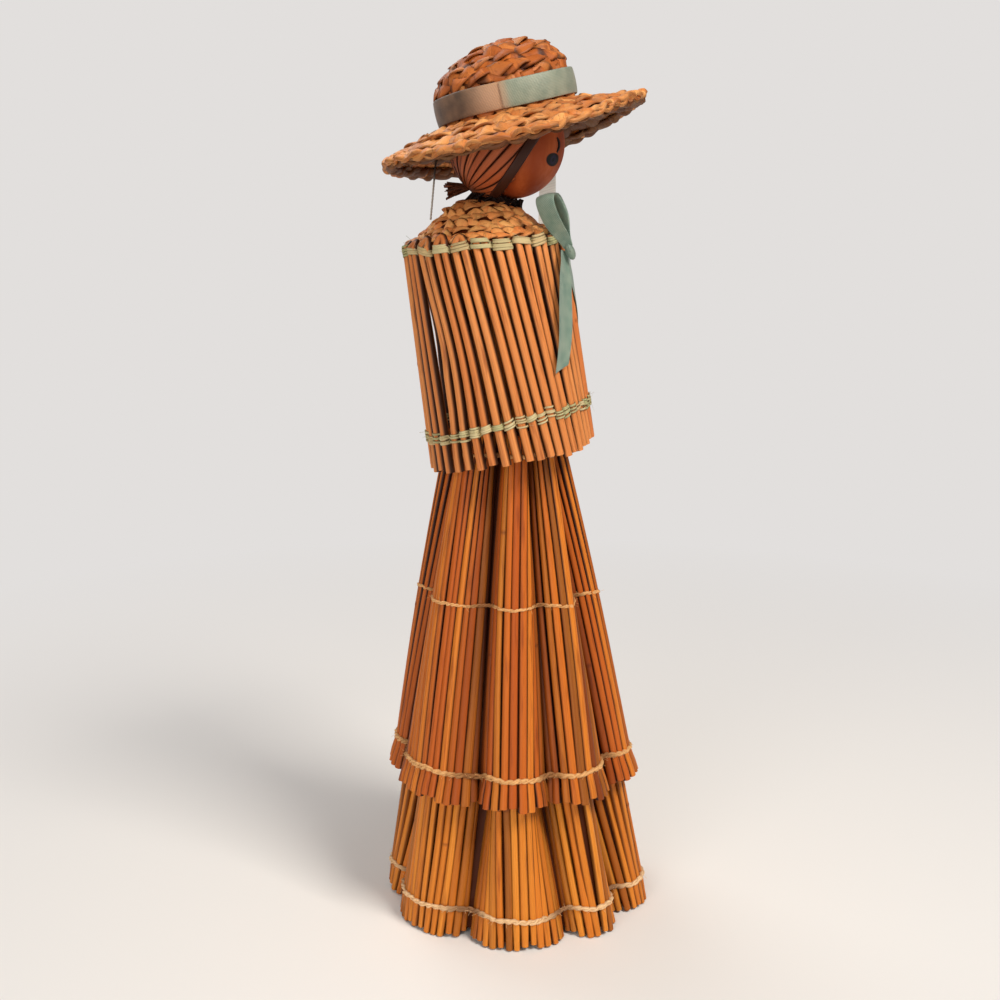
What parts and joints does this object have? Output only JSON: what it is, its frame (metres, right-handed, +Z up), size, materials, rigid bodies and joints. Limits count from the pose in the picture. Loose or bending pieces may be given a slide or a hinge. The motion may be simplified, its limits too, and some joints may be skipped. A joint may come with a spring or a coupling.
{
  "type": "straw doll",
  "caption": "Standing straw doll with a plaited hat, a wooden ball head that turns on a neck peg, a straw cape with a ribbon bow and a fluted skirt in two tiers.",
  "frame": {"origin": "on the floor under the middle of the doll's box", "axes": "+Z up, the doll faces -Y, +X to its left side"},
  "size_m": [0.0788, 0.0832, 0.2608],
  "materials": {
    "straw": "dry golden straw, satin",
    "deep_straw": "dry straw, satin",
    "plait": "plaited flat straw",
    "thread": "twined cotton thread",
    "green_thread": "twined cotton thread, pale grey-green",
    "ribbon": "satin ribbon, muted teal",
    "head_wood": "varnished wood",
    "hair": "flat split straw",
    "tape": "thin pale tape"
  },
  "bodies": {
    "figure": {"upper_flute_1": "straw", "upper_flute_2": "straw", "upper_flute_3": "straw", "upper_flute_4": "straw", "upper_flute_5": "straw", "upper_flute_6": "straw", "upper_flute_7": "straw", "upper_flute_8": "straw", "upper_flute_9": "straw", "lower_flute_1": "deep_straw", "lower_flute_2": "deep_straw", "lower_flute_3": "deep_straw", "lower_flute_4": "deep_straw", "lower_flute_5": "deep_straw", "lower_flute_6": "deep_straw", "lower_flute_7": "deep_straw", "lower_flute_8": "deep_straw", "lower_flute_9": "deep_straw", "waist_thread": "thread", "skirt_mid_thread": "thread", "upper_hem_thread": "thread", "lower_hem_thread": "thread", "neck_peg": "head_wood", "yoke": "plait", "torso_core": "deep_straw", "cape_lock_1": "straw", "cape_lock_2": "straw", "cape_lock_3": "straw", "cape_lock_4": "straw", "cape_lock_5": "straw", "cape_lock_6": "straw", "cape_lock_7": "straw", "cape_lock_8": "straw", "cape_lock_9": "straw", "cape_lock_10": "straw", "cape_lock_11": "straw", "cape_lock_12": "straw", "cape_lock_13": "straw", "cape_top_thread": "green_thread", "cape_hem_thread": "green_thread", "bow_knot": "ribbon", "bow_loop_right": "ribbon", "bow_loop_left": "ribbon", "bow_tail_right": "ribbon", "bow_tail_left": "ribbon", "back_hat_tie": "tape", "front_hat_tie": "tape"},
    "head": {"head": "head_wood", "hair": "hair", "hat": "plait", "hat_band": "ribbon"}
  },
  "joints": [
    {"name": "head_turn", "type": "hinge", "parent": "figure", "child": "head", "pos_m": [-0.00005, 0.00634, 0.215], "axis": [0, -0.1736, 0.9848], "range_deg": [-20, 20], "deforming": ["back_hat_tie", "front_hat_tie"]}
  ]
}
